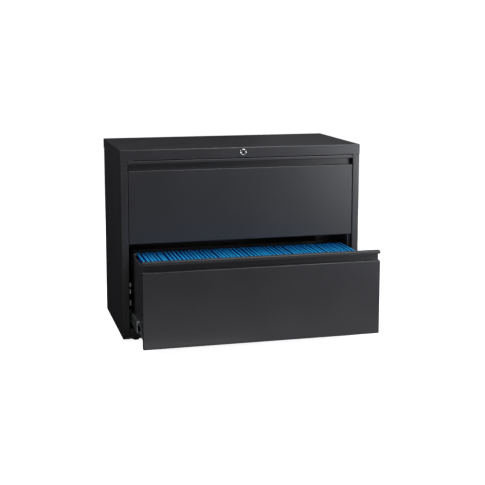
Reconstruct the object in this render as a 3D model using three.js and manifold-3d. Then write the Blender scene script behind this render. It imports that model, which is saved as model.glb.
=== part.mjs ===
// Two-drawer lateral filing cabinet, folded from painted sheet steel.
// Millimetres, +Z up, the front faces -Y and the width runs along X.
// The origin is on the floor, under the centre of the whole cabinet as it stands with its lower drawer part
// open.
import * as THREE from "three";
import { mergeVertices } from "three/addons/utils/BufferGeometryUtils.js";
import Module from "manifold-3d";

const wasm = await Module();
wasm.setup();

// ---------------------------------------------------------------- driving dimensions

const WIDTH = 917; // over the top cap
const DEPTH = 473; // front face to rear face of the case
const HEIGHT = 711; // floor to top face
const LOWER_OPEN = 300; // how far the lower drawer stands open
const UPPER_OPEN = 0;

const SHEET = 1; // wall of every folded steel panel
const BEND = 1.5; // inside radius of a fold
const GAP = 0.3; // between pieces that touch
const SLOT_ROOM = 0.9; // between a pin and each side of its slot
const FOLD_STEPS = 3; // short lines in the arc of a fold
const PAST = 1; // how far a cutter runs past what it cuts

const CAP_FLANGE = 38; // height of the cap's four turned-down sides
const CAP_OVERHANG = 1.5; // the cap stands this far proud of each side panel
const STILE = 26; // front face of a side panel
const STILE_RETURN = 18; // its fold back into the case
const REAR_FLANGE = 12; // a side panel's fold behind the back panel
const FOOT_SHOW = 10; // case bottom above the floor

const FRONT_SIDE_GAP = 1.5;
const TOP_GAP = 3; // cap flange to upper drawer front
const DRAWER_GAP = 6; // upper to lower drawer front
const RAIL_GAP = 4; // lower drawer front to the base rail
const FRONT_RETURN = 18; // side and bottom folds of a drawer front
const LIP = 12; // front face of the pull's lip
const PULL_GAP = 24; // finger opening under the lip
const PULL_DEPTH = 22;
const LIP_HEM = 4; // fold under the lip

const TRAY_SIDE_ROOM = 18; // case opening to drawer body, filled by a slide
const TRAY_LIFT = 6; // drawer body above the front's bottom edge
const TRAY_DROP = 5; // tray sides below the shelf of the pull
const TRAY_LENGTH = 420;
const TRAY_HEM = 6; // inward fold along the top of a drawer side
const LINER_FLANGE = 8;

const HANG_RAIL_HEIGHT = 14;
const HANG_RAIL_WALL = 2;
const HANG_RAIL_FOOT = 6;
const HANG_RAIL_TOP = 5; // rail top above the drawer sides
const FRONT_RAIL_AT = 15; // first hang rail behind the liner
const FILE_SPAN = 308; // hang rail to hang rail, letter size
const FOLDER_RISE = 4; // folder edge above the hang rail
const FOLDER_FLOOR_ROOM = 28; // drawer floor to the folders' bottom folds
const FOLDER_SIDE_ROOM = 4; // folders to the hem of a drawer side
const FOLDER_END_ROOM = 1; // folders to the foot of the front rail and to the rear rail
const FOLDER_PACKS = 3;
const PACK_GAP = 3;
const FOLDER_TAPER = 6; // each end of a pack draws in this much at the bottom

const SLIDE_CENTRE = 34; // above the drawer front's bottom edge
const SLIDE_START = 26; // cabinet member behind the case's front face
const SLIDE_LENGTH = 400;
const MIDDLE_LENGTH = 380;
const MIDDLE_START = 28;
const INNER_START = 2.4; // drawer member behind the front end of the drawer body
const CAGE_LENGTH = 160;
const OUTER_CAGE_START = 132; // when the drawer is shut
const INNER_CAGE_START = 145;
const OUTER_HALF = 26; // half heights of the three nested members
const MIDDLE_HALF = 21;
const INNER_HALF = 16;
const OUTER_WALL = 1.2;
const MEMBER_WALL = 1;
const MEMBER_BEND = 0.5;
const OUTER_DEPTH = 10.2; // leg lengths of the cabinet member and the middle member
const MIDDLE_DEPTH = 9.1;
const OUTER_CAGE_SHORT = 1; // cage legs end this far inside the members' legs
const INNER_CAGE_SHORT = 1.5;
const CAGE_WALL = 0.6;
const BALL_RADIUS = 1.6;
const BALLS_PER_ROW = 5;
const MIDDLE_RATIO = 0.5; // travel of each member as a share of the drawer's
const OUTER_CAGE_RATIO = 0.25;
const INNER_CAGE_RATIO = 0.75;

const UPRIGHT_START = 40; // front upright behind the case's front face
const UPRIGHT_WIDTH = 30;
const UPRIGHT_INSET = 4; // uprights stand this far inside the case opening
const REAR_UPRIGHT_ROOM = 12; // rear upright to the back panel
const SLOT_PITCH = 50;
const FIRST_SLOT = 37.5; // above the base pan
const SLOT_HEIGHT = 16;
const SLOT_WIDTH = 4;

const BASE_RAIL_HEIGHT = 40;
const BASE_RAIL_TOP_FLANGE = 20;
const BASE_RAIL_BOTTOM_FLANGE = 12;
const BASE_PAN_ROOM = 2; // base rail's top flange to the base pan
const PAN_HEIGHT = 21; // base pan sheet above the case bottom
const NUT_RADIUS = 9;
const NUT_LENGTH = 8;
const STEM_RADIUS = 4.7;
const STEM_CLEARANCE = 0.5;
const STEM_TOP = 46;
const PAD_RADIUS = 12;
const PAD_EDGE = 1; // bevel round the pad
const PAD_HEIGHT = 6;
const NECK_RADIUS = 7;
const NECK_HEIGHT = 3;
const FOOT_INSET_X = 52; // foot centre from a side panel's outer face
const FOOT_INSET_Y = 30; // and from the front and rear faces

const WEIGHT_SIZE = [760, 82, 24]; // counterweight bar
const WEIGHT_REAR_ROOM = 8;

const LOCK_BODY_RADIUS = 11;
const LOCK_FACE_RADIUS = 12.5;
const LOCK_FACE_STANDS = 1.8;
const LOCK_BORE_RADIUS = 8;
const LOCK_LENGTH = 26;
const LOCK_RAIL_DEPTH = 19;
const LOCK_RAIL_LIFT = 1; // above the bottom edge of the cap's flange
const LOCK_RAIL_ROOM = 13; // each end of the lock rail to the edge of the case opening
const KEYWAY = [2, 9, 18]; // width, height and depth
const CAM_WALL = 2;
const CAM_REACH = 16; // plug centre to cam pin
const CAM_HUB = 7.5;
const PIN_RADIUS = 2.5;
const PIN_LENGTH = 7;
const PIN_SHOWS = 2; // the bar's pin, behind the link
const LINK_WALL = 2;
const LINK_HEIGHT = 12;
const LINK_BORDER = 5; // metal round each slot
const LINK_AT = 31.5; // link and bar behind the case's front face
const BAR_AT = 24;
const BAR_WALL = 1.5;
const BAR_EDGE = 1; // bar's inner edge, outside the case opening
const BAR_WIDTH = 14;
const BAR_DROP = 12; // bar's bottom end above the lower drawer front's bottom edge
const BAR_HEAD_INSET = 26; // bar's pin, inside the case opening
const BAR_HEAD_HEIGHT = 16;
const TAB_REACH = 10;
const TABS = [[79, 98], [122, 138], [148, 163]]; // bottom and top of each, above a front's bottom edge
const CATCH_ROOM = 1.5; // the drawer's catch to the bar, and to the tabs it passes between
const CATCH_LENGTH = 8;
const CATCH_TIP_ROOM = 1; // to the front upright that it passes

// ---------------------------------------------------------------- derived places

const frontY = -(DEPTH + LOWER_OPEN) / 2 + LOWER_OPEN;
const caseHalf = WIDTH / 2 - CAP_OVERHANG; // outer face of a side panel
const openingHalf = caseHalf - STILE;
const frontHalf = openingHalf - FRONT_SIDE_GAP;
const trayHalf = openingHalf - TRAY_SIDE_ROOM;
const uprightHalf = openingHalf - UPRIGHT_INSET;
const capBottom = HEIGHT - CAP_FLANGE;
const capInside = HEIGHT - SHEET - BEND; // highest place inside the cap, below its rounded corners
const backFace = DEPTH - SHEET - GAP; // rear face of the side panels' rear flanges
const backPanelRear = backFace - SHEET - GAP;
const backPanelFront = backPanelRear - SHEET;
const insideHalf = caseHalf - SHEET - GAP;
const backHalf = caseHalf - SHEET - BEND; // the back panel stays clear of the side panels' folds
const baseRailTop = FOOT_SHOW + BASE_RAIL_HEIGHT;
const lowerFrontBottom = baseRailTop + RAIL_GAP;
const frontHeight = (capBottom - TOP_GAP - DRAWER_GAP - lowerFrontBottom) / 2;
const upperFrontBottom = lowerFrontBottom + frontHeight + DRAWER_GAP;
const panTop = FOOT_SHOW + PAN_HEIGHT;
const footX = caseHalf - FOOT_INSET_X;
const lockZ = HEIGHT - CAP_FLANGE / 2;
const camPinOffset = CAM_REACH * Math.SQRT1_2; // the cam rests at 45 degrees, down and to the left
const linkTravel = 2 * camPinOffset; // a quarter turn of the plug
const barTravel = linkTravel / 2; // the link's slot rises 1 in 2

// ---------------------------------------------------------------- materials

const finish = (color, roughness, metalness) =>
  new THREE.MeshStandardMaterial({ color, roughness, metalness });
const paint = (color, roughness = 0.5) => finish(color, roughness, 0);
const metal = (color, roughness = 0.35) => finish(color, roughness, 1);
const charcoal = paint(0x3a3b40);
const zinc = metal(0xb4b6ba);
const nickel = metal(0xc9c6c0, 0.2);
const iron = paint(0x25262a, 0.7);
const nylon = paint(0x141416, 0.6);
const folderBlue = paint(0x1565a8, 0.8);

// ---------------------------------------------------------------- shape helpers

// A closed geometry as a manifold solid: only positions count, and shared corners are merged.
function solid(geometry) {
  const bare = new THREE.BufferGeometry();
  const flat = geometry.index ? geometry.toNonIndexed() : geometry;
  bare.setAttribute("position", flat.getAttribute("position"));
  const merged = mergeVertices(bare, 1e-4);
  return new wasm.Manifold(
    new wasm.Mesh({
      numProp: 3,
      vertProperties: merged.attributes.position.array,
      triVerts: new Uint32Array(merged.index.array),
    }),
  );
}

function geometryOf(body) {
  const mesh = body.getMesh();
  const places = new Float32Array(mesh.numVert * 3);
  for (let i = 0; i < mesh.numVert; i += 1) {
    places.set(mesh.vertProperties.subarray(i * mesh.numProp, i * mesh.numProp + 3), i * 3);
  }
  const geometry = new THREE.BufferGeometry();
  geometry.setAttribute("position", new THREE.BufferAttribute(places, 3));
  geometry.setIndex(new THREE.BufferAttribute(mesh.triVerts, 1));
  geometry.computeVertexNormals();
  return geometry;
}

const block = (x0, x1, y0, y1, z0, z1) =>
  new THREE.BoxGeometry(x1 - x0, y1 - y0, z1 - z0).translate((x0 + x1) / 2, (y0 + y1) / 2, (z0 + z1) / 2);

const pointsOf = (pairs) => pairs.map(([u, v]) => new THREE.Vector2(u, v));
const shapeOf = (pairs) => new THREE.Shape(pointsOf(pairs));

// Runs a flat shape along one axis: its own two directions become the other two.
const prism = (shape, length) => new THREE.ExtrudeGeometry(shape, { depth: length, bevelEnabled: false });
function alongX(shape, x0, x1) {
  const turned = new THREE.Matrix4().makeBasis(
    new THREE.Vector3(0, 1, 0),
    new THREE.Vector3(0, 0, 1),
    new THREE.Vector3(1, 0, 0),
  );
  return prism(shape, x1 - x0).applyMatrix4(turned).translate(x0, 0, 0);
}
const alongY = (shape, y0, y1) => prism(shape, y1 - y0).rotateX(Math.PI / 2).translate(0, y1, 0);
const alongZ = (shape, z0, z1) => prism(shape, z1 - z0).translate(0, 0, z0);

function rod(radius, y0, y1, x = 0, z = 0, sides = 24) {
  return new THREE.CylinderGeometry(radius, radius, y1 - y0, sides).translate(x, (y0 + y1) / 2, z);
}
const upright = (radius, z0, z1, x = 0, y = 0, sides = 24) =>
  rod(radius, z0, z1, 0, 0, sides).rotateX(Math.PI / 2).translate(x, y, 0);

// Rounds each inner corner of an open path to its own radius.
function roundedPath(corners, radii) {
  const points = [corners[0].clone()];
  for (let i = 1; i < corners.length - 1; i += 1) {
    const before = corners[i - 1].clone().sub(corners[i]).normalize();
    const after = corners[i + 1].clone().sub(corners[i]).normalize();
    const half = before.angleTo(after) / 2;
    const reach = radii[i] / Math.tan(half);
    const inward = before.clone().add(after).normalize();
    const centre = corners[i].clone().addScaledVector(inward, radii[i] / Math.sin(half));
    const from = corners[i].clone().addScaledVector(before, reach).sub(centre);
    const turn = Math.PI - 2 * half;
    const way = Math.sign(after.cross(before)) || 1;
    for (let k = 0; k <= FOLD_STEPS; k += 1) {
      const angle = (way * turn * k) / FOLD_STEPS;
      points.push(from.clone().rotateAround(new THREE.Vector2(), angle).add(centre));
    }
  }
  points.push(corners[corners.length - 1].clone());
  return points;
}

// The cross-section of a folded sheet. `outer` is its outer face, corner by corner, with the metal on the
// left of the way it runs.
function folded(outer, wall = SHEET, bend = BEND) {
  const corners = pointsOf(outer);
  const normals = corners.slice(1).map((c, i) => {
    const d = c.clone().sub(corners[i]).normalize();
    return new THREE.Vector2(-d.y, d.x);
  });
  const inner = corners.map((c, i) => {
    const a = normals[Math.max(i - 1, 0)];
    const b = normals[Math.min(i, normals.length - 1)];
    return c.clone().addScaledVector(a.clone().add(b), wall / (1 + a.dot(b)));
  });
  const leftTurn = corners.map((c, i) =>
    i === 0 || i === corners.length - 1
      ? false
      : c.clone().sub(corners[i - 1]).cross(corners[i + 1].clone().sub(c)) > 0,
  );
  const outerRadii = leftTurn.map((left) => (left ? bend + wall : bend));
  const innerRadii = leftTurn.map((left) => (left ? bend : bend + wall));
  const line = roundedPath(corners, outerRadii);
  const back = roundedPath(inner, innerRadii).reverse();
  return new THREE.Shape([...line, ...back]);
}

const cabinet = new THREE.Group();

// Adds a named piece to a group. `body` is a geometry or a manifold solid.
function piece(group, name, body, material) {
  const geometry = body.isBufferGeometry ? geometryOf(solid(body)) : geometryOf(body);
  const mesh = new THREE.Mesh(geometry, material);
  mesh.name = name;
  group.add(mesh);
  return mesh;
}

// ---------------------------------------------------------------- case: everything that stands still

const shell = new THREE.Group();
shell.position.y = frontY;
cabinet.add(shell);

const lockHole = solid(rod(LOCK_BODY_RADIUS + GAP, -PAST, SHEET + BEND + GAP + PAST, 0, lockZ));

// Top cap: a shallow pan turned down on all four sides, with a hole for the lock.
function cap() {
  const half = WIDTH / 2;
  const arch = (a, b, top, bottom, radius) => {
    const corners = pointsOf([[a, bottom], [a, top], [b, top], [b, bottom]]);
    return new THREE.Shape(roundedPath(corners, [0, radius, radius, 0]).reverse());
  };
  // What an arch across the depth and an arch across the width have in common, both drawn in by `inset`.
  const rounded = (inset, bottom, radius) => {
    const across = arch(inset, DEPTH - inset, HEIGHT - inset, bottom, radius);
    const along = arch(inset - half, half - inset, HEIGHT - inset, bottom, radius);
    return solid(alongX(across, inset - half, half - inset)).intersect(solid(alongY(along, 0, DEPTH)));
  };
  return rounded(0, capBottom, BEND + SHEET)
    .subtract(rounded(SHEET, capBottom - PAST, BEND))
    .subtract(lockHole);
}

// Side panel, seen from above: stile return, stile, side and rear flange, in one folded sheet.
function sidePanel() {
  const outline = folded([
    [openingHalf, STILE_RETURN],
    [openingHalf, 0],
    [caseHalf, 0],
    [caseHalf, backFace],
    [caseHalf - REAR_FLANGE, backFace],
  ]);
  const stileTop = capBottom - GAP;
  const foldEnd = SHEET + BEND + GAP;
  const returnEnd = STILE_RETURN + PAST;
  return solid(alongZ(outline, FOOT_SHOW, capInside))
    .subtract(solid(block(openingHalf - PAST, insideHalf, -PAST, returnEnd, stileTop, HEIGHT)))
    .subtract(solid(block(insideHalf - PAST, caseHalf + PAST, -PAST, foldEnd, stileTop, HEIGHT)));
}

// Slotted post: a channel that opens towards the side panel, with a ladder of slots in its web.
function post(start) {
  const outline = folded([
    [insideHalf, start + UPRIGHT_WIDTH],
    [uprightHalf, start + UPRIGHT_WIDTH],
    [uprightHalf, start],
    [insideHalf, start],
  ]);
  let body = solid(alongZ(outline, panTop + GAP, capInside));
  const slotX = [uprightHalf - PAST, uprightHalf + SHEET + PAST];
  const y0 = start + (UPRIGHT_WIDTH - SLOT_WIDTH) / 2;
  const slotRows = Math.floor((capBottom - panTop) / SLOT_PITCH);
  for (let row = 0; row < slotRows; row += 1) {
    const z = panTop + FIRST_SLOT + row * SLOT_PITCH;
    body = body.subtract(solid(block(...slotX, y0, y0 + SLOT_WIDTH, z, z + SLOT_HEIGHT)));
  }
  return body;
}

// Base pan, turned down on four sides, with a threaded boss for each foot.
function basePan() {
  const half = insideHalf - SHEET;
  const y0 = BASE_RAIL_TOP_FLANGE + BASE_PAN_ROOM;
  const y1 = backPanelFront - GAP;
  let body = solid(block(-insideHalf, insideHalf, y0, y1, FOOT_SHOW, panTop))
    .subtract(solid(block(-half, half, y0 + SHEET, y1 - SHEET, 0, panTop - SHEET)));
  for (const [x, y] of footPlaces()) {
    body = body
      .add(solid(upright(NUT_RADIUS, panTop - SHEET - NUT_LENGTH, panTop, x, y, 6)))
      .subtract(solid(upright(STEM_RADIUS + STEM_CLEARANCE, 0, panTop + PAST, x, y)));
  }
  return body;
}

function footPlaces() {
  const rows = [FOOT_INSET_Y, DEPTH - FOOT_INSET_Y];
  return rows.flatMap((y) => [-footX, footX].map((x) => [x, y]));
}

function foot() {
  const profile = [
    [0, 0],
    [PAD_RADIUS - PAD_EDGE, 0],
    [PAD_RADIUS, PAD_EDGE],
    [PAD_RADIUS, PAD_HEIGHT - PAD_EDGE],
    [PAD_RADIUS - PAD_EDGE, PAD_HEIGHT],
    [NECK_RADIUS, PAD_HEIGHT],
    [NECK_RADIUS, PAD_HEIGHT + NECK_HEIGHT],
    [STEM_RADIUS, PAD_HEIGHT + NECK_HEIGHT],
    [STEM_RADIUS, STEM_TOP],
    [0, STEM_TOP],
  ];
  return new THREE.LatheGeometry(pointsOf(profile), 24).rotateX(Math.PI / 2);
}

const baseRail = alongX(
  folded([
    [BASE_RAIL_BOTTOM_FLANGE, FOOT_SHOW],
    [0, FOOT_SHOW],
    [0, baseRailTop],
    [BASE_RAIL_TOP_FLANGE, baseRailTop],
  ].reverse()),
  GAP - openingHalf,
  openingHalf - GAP,
);

const lockRailHalf = openingHalf - LOCK_RAIL_ROOM;
const lockRailBottom = capBottom + LOCK_RAIL_LIFT;
const lockRail = solid(
  alongX(
    folded([
      [SHEET + GAP + LOCK_RAIL_DEPTH, lockRailBottom],
      [SHEET + GAP, lockRailBottom],
      [SHEET + GAP, capInside],
      [SHEET + GAP + LOCK_RAIL_DEPTH, capInside],
    ].reverse()),
    -lockRailHalf,
    lockRailHalf,
  ),
).subtract(lockHole);

piece(shell, "top_cap", cap(), charcoal);
const rightSide = sidePanel();
piece(shell, "right_side_panel", rightSide, charcoal);
piece(shell, "left_side_panel", rightSide.mirror([1, 0, 0]), charcoal);
const backPanel = block(-backHalf, backHalf, backPanelFront, backPanelRear, FOOT_SHOW, capInside);
piece(shell, "back_panel", backPanel, charcoal);
piece(shell, "base_pan", basePan(), charcoal);
piece(shell, "base_rail", baseRail, charcoal);
piece(shell, "lock_rail", lockRail, charcoal);

const postStarts = { front: UPRIGHT_START, rear: backPanelFront - REAR_UPRIGHT_ROOM - UPRIGHT_WIDTH };
for (const [place, start] of Object.entries(postStarts)) {
  const right = post(start);
  piece(shell, `upright_${place}_right`, right, zinc);
  piece(shell, `upright_${place}_left`, right.mirror([1, 0, 0]), zinc);
}

const [weightLength, weightDepth, weightHeight] = WEIGHT_SIZE;
const weight = new THREE.BoxGeometry(weightLength, weightDepth, weightHeight).translate(
  0,
  backPanelFront - WEIGHT_REAR_ROOM - weightDepth / 2,
  panTop + GAP + weightHeight / 2,
);
piece(shell, "counterweight", weight, iron);

// Levelling feet: a pad, a neck and a stem that screws up and down in the base pan's boss.
const footNames = ["foot_front_left", "foot_front_right", "foot_rear_left", "foot_rear_right"];
footPlaces().forEach(([x, y], i) => {
  piece(shell, footNames[i], foot(), nylon).position.set(x, y, 0);
});

// ---------------------------------------------------------------- lock and interlock

const lock = new THREE.Group();
lock.position.set(0, 0, lockZ);
shell.add(lock);

const plugRadius = LOCK_BORE_RADIUS - GAP;
const camAt = LOCK_LENGTH + 2 * GAP;
const housingProfile = [
  [LOCK_BORE_RADIUS, -GAP - LOCK_FACE_STANDS],
  [LOCK_FACE_RADIUS, -GAP - LOCK_FACE_STANDS],
  [LOCK_FACE_RADIUS, -GAP],
  [LOCK_BODY_RADIUS, -GAP],
  [LOCK_BODY_RADIUS, LOCK_LENGTH],
  [LOCK_BORE_RADIUS, LOCK_LENGTH],
  [LOCK_BORE_RADIUS, -GAP - LOCK_FACE_STANDS],
];
const housing = new THREE.LatheGeometry(pointsOf(housingProfile), 32);
const keyway = new THREE.BoxGeometry(KEYWAY[0], 2 * KEYWAY[2], KEYWAY[1]);
const plug = solid(rod(plugRadius, -LOCK_FACE_STANDS, LOCK_LENGTH + GAP)).subtract(solid(keyway));

// The cam's arm points down and to the left, and ends in a pin that works in the link's slot.
function cam() {
  const rear = camAt + CAM_WALL;
  const arm = block(0, CAM_REACH, camAt, rear, -CAM_HUB / 2, CAM_HUB / 2).rotateY(Math.PI * 0.75);
  return solid(rod(CAM_HUB, camAt, rear))
    .add(solid(arm))
    .add(solid(rod(CAM_HUB / 2, camAt, rear, -camPinOffset, -camPinOffset)))
    .add(solid(rod(PIN_RADIUS, camAt, rear + PIN_LENGTH, -camPinOffset, -camPinOffset)));
}

// Sliding link: an upright slot for the cam's pin, a strip, and a slot that slants 1 in 2 for the bar's pin.
const barPinX = openingHalf - BAR_HEAD_INSET;
const pinDrop = (CAM_REACH + camPinOffset) / 2; // middle of the cam pin's rise and fall, below the plug
const slotHalf = PIN_RADIUS + SLOT_ROOM;
const linkRear = LINK_AT + LINK_WALL;
function link() {
  const plate = (x, z, halfX, halfZ) =>
    block(x - halfX, x + halfX, LINK_AT, linkRear, z - halfZ, z + halfZ);
  const rise = (CAM_REACH - camPinOffset) / 2 + slotHalf;
  const headX = -barPinX - linkTravel / 2;
  const headHalf = linkTravel / 2 + slotHalf + LINK_BORDER;
  const stripEnd = -camPinOffset - slotHalf - LINK_BORDER / 2;
  const stripMiddle = (headX + stripEnd) / 2;
  const upSlot = block(
    -camPinOffset - slotHalf,
    -camPinOffset + slotHalf,
    LINK_AT - PAST,
    linkRear + PAST,
    -pinDrop - rise,
    -pinDrop + rise,
  );
  // The slant falls from left to right, so the bar's pin climbs as the link moves to the right.
  const low = -pinDrop - barTravel / 2;
  const high = -pinDrop + barTravel / 2;
  const slant = shapeOf([
    [-barPinX + slotHalf, low - slotHalf],
    [-barPinX + slotHalf, low + slotHalf],
    [-barPinX - linkTravel + slotHalf, high + slotHalf],
    [-barPinX - linkTravel - slotHalf, high + slotHalf],
    [-barPinX - linkTravel - slotHalf, high - slotHalf],
    [-barPinX - slotHalf, low - slotHalf],
  ]);
  return solid(plate(headX, -pinDrop, headHalf, barTravel / 2 + slotHalf + LINK_BORDER))
    .add(solid(plate(-camPinOffset, -pinDrop, slotHalf + LINK_BORDER, rise + LINK_BORDER)))
    .add(solid(plate(stripMiddle, -pinDrop, stripEnd - stripMiddle, LINK_HEIGHT / 2)))
    .subtract(solid(upSlot))
    .subtract(solid(alongY(slant, LINK_AT - PAST, linkRear + PAST)));
}

// Interlock bar: a strip behind the left stile with tabs beside each drawer, and a head whose pin the link
// lifts.
function interlockBar() {
  const edge = -(openingHalf + BAR_EDGE);
  const strip = (x0, x1, z0, z1) => solid(block(x0, x1, BAR_AT, BAR_AT + BAR_WALL, z0, z1));
  const headMiddle = -pinDrop - barTravel / 2;
  const headBottom = headMiddle - BAR_HEAD_HEIGHT / 2;
  const headTop = headMiddle + BAR_HEAD_HEIGHT / 2;
  const barBottom = lowerFrontBottom + BAR_DROP - lockZ;
  let body = strip(edge - BAR_WIDTH, edge, barBottom, headTop)
    .add(strip(edge - BAR_WIDTH, -barPinX + BAR_HEAD_HEIGHT / 2, headBottom, headTop))
    .add(solid(rod(PIN_RADIUS, BAR_AT, linkRear + PIN_SHOWS, -barPinX, headMiddle)));
  for (const front of [lowerFrontBottom, upperFrontBottom]) {
    for (const [low, high] of TABS) {
      body = body.add(strip(edge - BAR_WALL, edge + TAB_REACH, front + low - lockZ, front + high - lockZ));
    }
  }
  return body;
}

piece(lock, "lock_housing", housing, nickel);
piece(lock, "lock_plug", plug, nickel);
piece(lock, "lock_cam", cam(), zinc);
piece(lock, "lock_link", link(), zinc);
piece(lock, "interlock_bar", interlockBar(), zinc);

// ---------------------------------------------------------------- slides
// Each has three nested channels, with a ball cage in each of its two tracks.

// A channel seen from the front, on the right-hand side: its web is at `web`, its open side towards `edge`.
function channel(web, edge, half, wall, y0, y1) {
  const corners = [[edge, half], [web, half], [web, -half], [edge, -half]];
  const outward = web > edge;
  const outline = folded(outward ? [...corners].reverse() : corners, wall, MEMBER_BEND);
  return solid(alongY(outline, y0, y1));
}

// A ball cage: a thin channel whose two legs carry a row of balls each.
function cage(web, edge, half, ballX, y0) {
  let body = channel(web, edge, half + CAGE_WALL / 2, CAGE_WALL, y0, y0 + CAGE_LENGTH);
  const step = CAGE_LENGTH / BALLS_PER_ROW;
  for (let i = 0; i < BALLS_PER_ROW; i += 1) {
    for (const z of [-half, half]) {
      const ball = new THREE.SphereGeometry(BALL_RADIUS, 8, 5).translate(ballX, y0 + (i + 0.5) * step, z);
      body = body.add(solid(ball));
    }
  }
  return body;
}

const outerWeb = uprightHalf - GAP;
const outerEdge = outerWeb - OUTER_DEPTH;
const middleWeb = outerWeb - OUTER_WALL - CAGE_WALL - 2 * GAP;
const middleEdge = middleWeb - MIDDLE_DEPTH;
const innerWeb = trayHalf + GAP;
const innerCageWeb = middleWeb - MEMBER_WALL - GAP;
const innerEdge = innerCageWeb - CAGE_WALL - GAP;
const outerCageHalf = (OUTER_HALF - OUTER_WALL + MIDDLE_HALF) / 2;
const innerCageHalf = (MIDDLE_HALF - MEMBER_WALL + INNER_HALF) / 2;
const ballX = (outerEdge + innerEdge) / 2;

// The drawer member starts just behind the liner, wherever the depth of the front puts that.
const linerFront = FRONT_RETURN + GAP;
const linerRear = linerFront + SHEET;
const trayFront = linerRear + GAP;
const innerStart = trayFront + INNER_START;

function addSlide(drawerName, sideName, mirrored, frontBottom, open) {
  const group = new THREE.Group();
  group.position.set(0, frontY, frontBottom + SLIDE_CENTRE);
  cabinet.add(group);
  const put = (name, body, travelled) => {
    const placed = mirrored ? body.mirror([1, 0, 0]) : body;
    piece(group, `${drawerName}_${name}_${sideName}`, placed, zinc).position.y = -travelled;
  };
  const outer = channel(outerWeb, outerEdge, OUTER_HALF, OUTER_WALL, SLIDE_START, SLIDE_START + SLIDE_LENGTH);
  const middleEnd = MIDDLE_START + MIDDLE_LENGTH;
  const middle = channel(middleWeb, middleEdge, MIDDLE_HALF, MEMBER_WALL, MIDDLE_START, middleEnd);
  const inner = channel(innerWeb, innerEdge, INNER_HALF, MEMBER_WALL, innerStart, innerStart + SLIDE_LENGTH);
  const outerCageWeb = outerWeb - OUTER_WALL - GAP;
  const outerCage = cage(outerCageWeb, outerEdge + OUTER_CAGE_SHORT, outerCageHalf, ballX, OUTER_CAGE_START);
  const innerCage = cage(innerCageWeb, middleEdge + INNER_CAGE_SHORT, innerCageHalf, ballX, INNER_CAGE_START);
  put("slide_outer", outer, 0);
  put("slide_middle", middle, open * MIDDLE_RATIO);
  put("slide_inner", inner, open);
  put("ball_cage_outer", outerCage, open * OUTER_CAGE_RATIO);
  put("ball_cage_inner", innerCage, open * INNER_CAGE_RATIO);
}

// ---------------------------------------------------------------- drawers

// A drawer is built shut, with z = 0 at its front's bottom edge, and its group is then drawn forward.
const panelTop = frontHeight - LIP - PULL_GAP;
const trayRear = trayFront + TRAY_LENGTH;
const trayTop = panelTop - TRAY_DROP;
const trayFloor = TRAY_LIFT + SHEET;

// One folded sheet: bottom fold, panel, shelf, back of the pull, lip, and two side folds.
// The outline follows the face that shows on the panel, which turns to the inside of the lip.
function drawerFront() {
  const outline = folded([
    [FRONT_RETURN, 0],
    [0, 0],
    [0, panelTop],
    [PULL_DEPTH, panelTop],
    [PULL_DEPTH, frontHeight - SHEET],
    [SHEET, frontHeight - SHEET],
    [SHEET, frontHeight - LIP + SHEET],
    [LIP_HEM, frontHeight - LIP + SHEET],
  ].reverse());
  const fold = (x0, x1) => solid(block(x0, x1, SHEET / 2, FRONT_RETURN, SHEET / 2, panelTop - SHEET / 2));
  return solid(alongX(outline, -frontHalf, frontHalf))
    .add(fold(-frontHalf, -frontHalf + SHEET))
    .add(fold(frontHalf - SHEET, frontHalf));
}

function liner() {
  const low = SHEET + GAP;
  const high = panelTop - 2 * SHEET - GAP;
  const half = frontHalf - SHEET - GAP;
  const outline = folded([
    [linerFront + SHEET - LINER_FLANGE, low],
    [linerRear, low],
    [linerRear, high],
    [linerFront + SHEET - LINER_FLANGE, high],
  ]);
  return alongX(outline, -half, half);
}

function traySide() {
  const outline = folded([
    [trayHalf - TRAY_HEM, trayTop],
    [trayHalf, trayTop],
    [trayHalf, TRAY_LIFT],
  ].reverse());
  return solid(alongY(outline, trayFront, trayRear));
}

// The left side's catch passes between the two upper tabs, until the bar rises in front of it.
function catchLug() {
  const tip = CATCH_TIP_ROOM - uprightHalf;
  const start = BAR_AT + BAR_WALL + CATCH_ROOM;
  const low = TABS[1][1] + CATCH_ROOM;
  const high = TABS[2][0] - CATCH_ROOM;
  return solid(block(tip, SHEET / 2 - trayHalf, start, start + CATCH_LENGTH, low, high));
}

// Hang rail: an upright strip on a small foot, across the drawer.
function hangRail(y) {
  const top = trayTop + HANG_RAIL_TOP;
  const bottom = top - HANG_RAIL_HEIGHT;
  const outline = shapeOf([
    [y, bottom],
    [y + HANG_RAIL_FOOT, bottom],
    [y + HANG_RAIL_FOOT, bottom + HANG_RAIL_WALL],
    [y + HANG_RAIL_WALL, bottom + HANG_RAIL_WALL],
    [y + HANG_RAIL_WALL, top],
    [y, top],
  ]);
  const half = trayHalf - TRAY_HEM - GAP;
  return alongX(outline, -half, half);
}

// A row of hanging folders as one block: it starts above the rails, and draws in towards the bottom.
function folderPack(index, frontRailY) {
  const half = trayHalf - TRAY_HEM - FOLDER_SIDE_ROOM;
  const width = (2 * half - PACK_GAP * (FOLDER_PACKS - 1)) / FOLDER_PACKS;
  const x0 = -half + index * (width + PACK_GAP);
  const top = trayTop + HANG_RAIL_TOP + FOLDER_RISE;
  const bottom = trayFloor + FOLDER_FLOOR_ROOM;
  const y0 = frontRailY + HANG_RAIL_FOOT + FOLDER_END_ROOM;
  const y1 = frontRailY + FILE_SPAN - FOLDER_END_ROOM;
  const outline = shapeOf([
    [y0 + FOLDER_TAPER, bottom],
    [y1 - FOLDER_TAPER, bottom],
    [y1, top - FOLDER_TAPER],
    [y1, top],
    [y0, top],
    [y0, top - FOLDER_TAPER],
  ]);
  return alongX(outline, x0, x0 + width);
}

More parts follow.
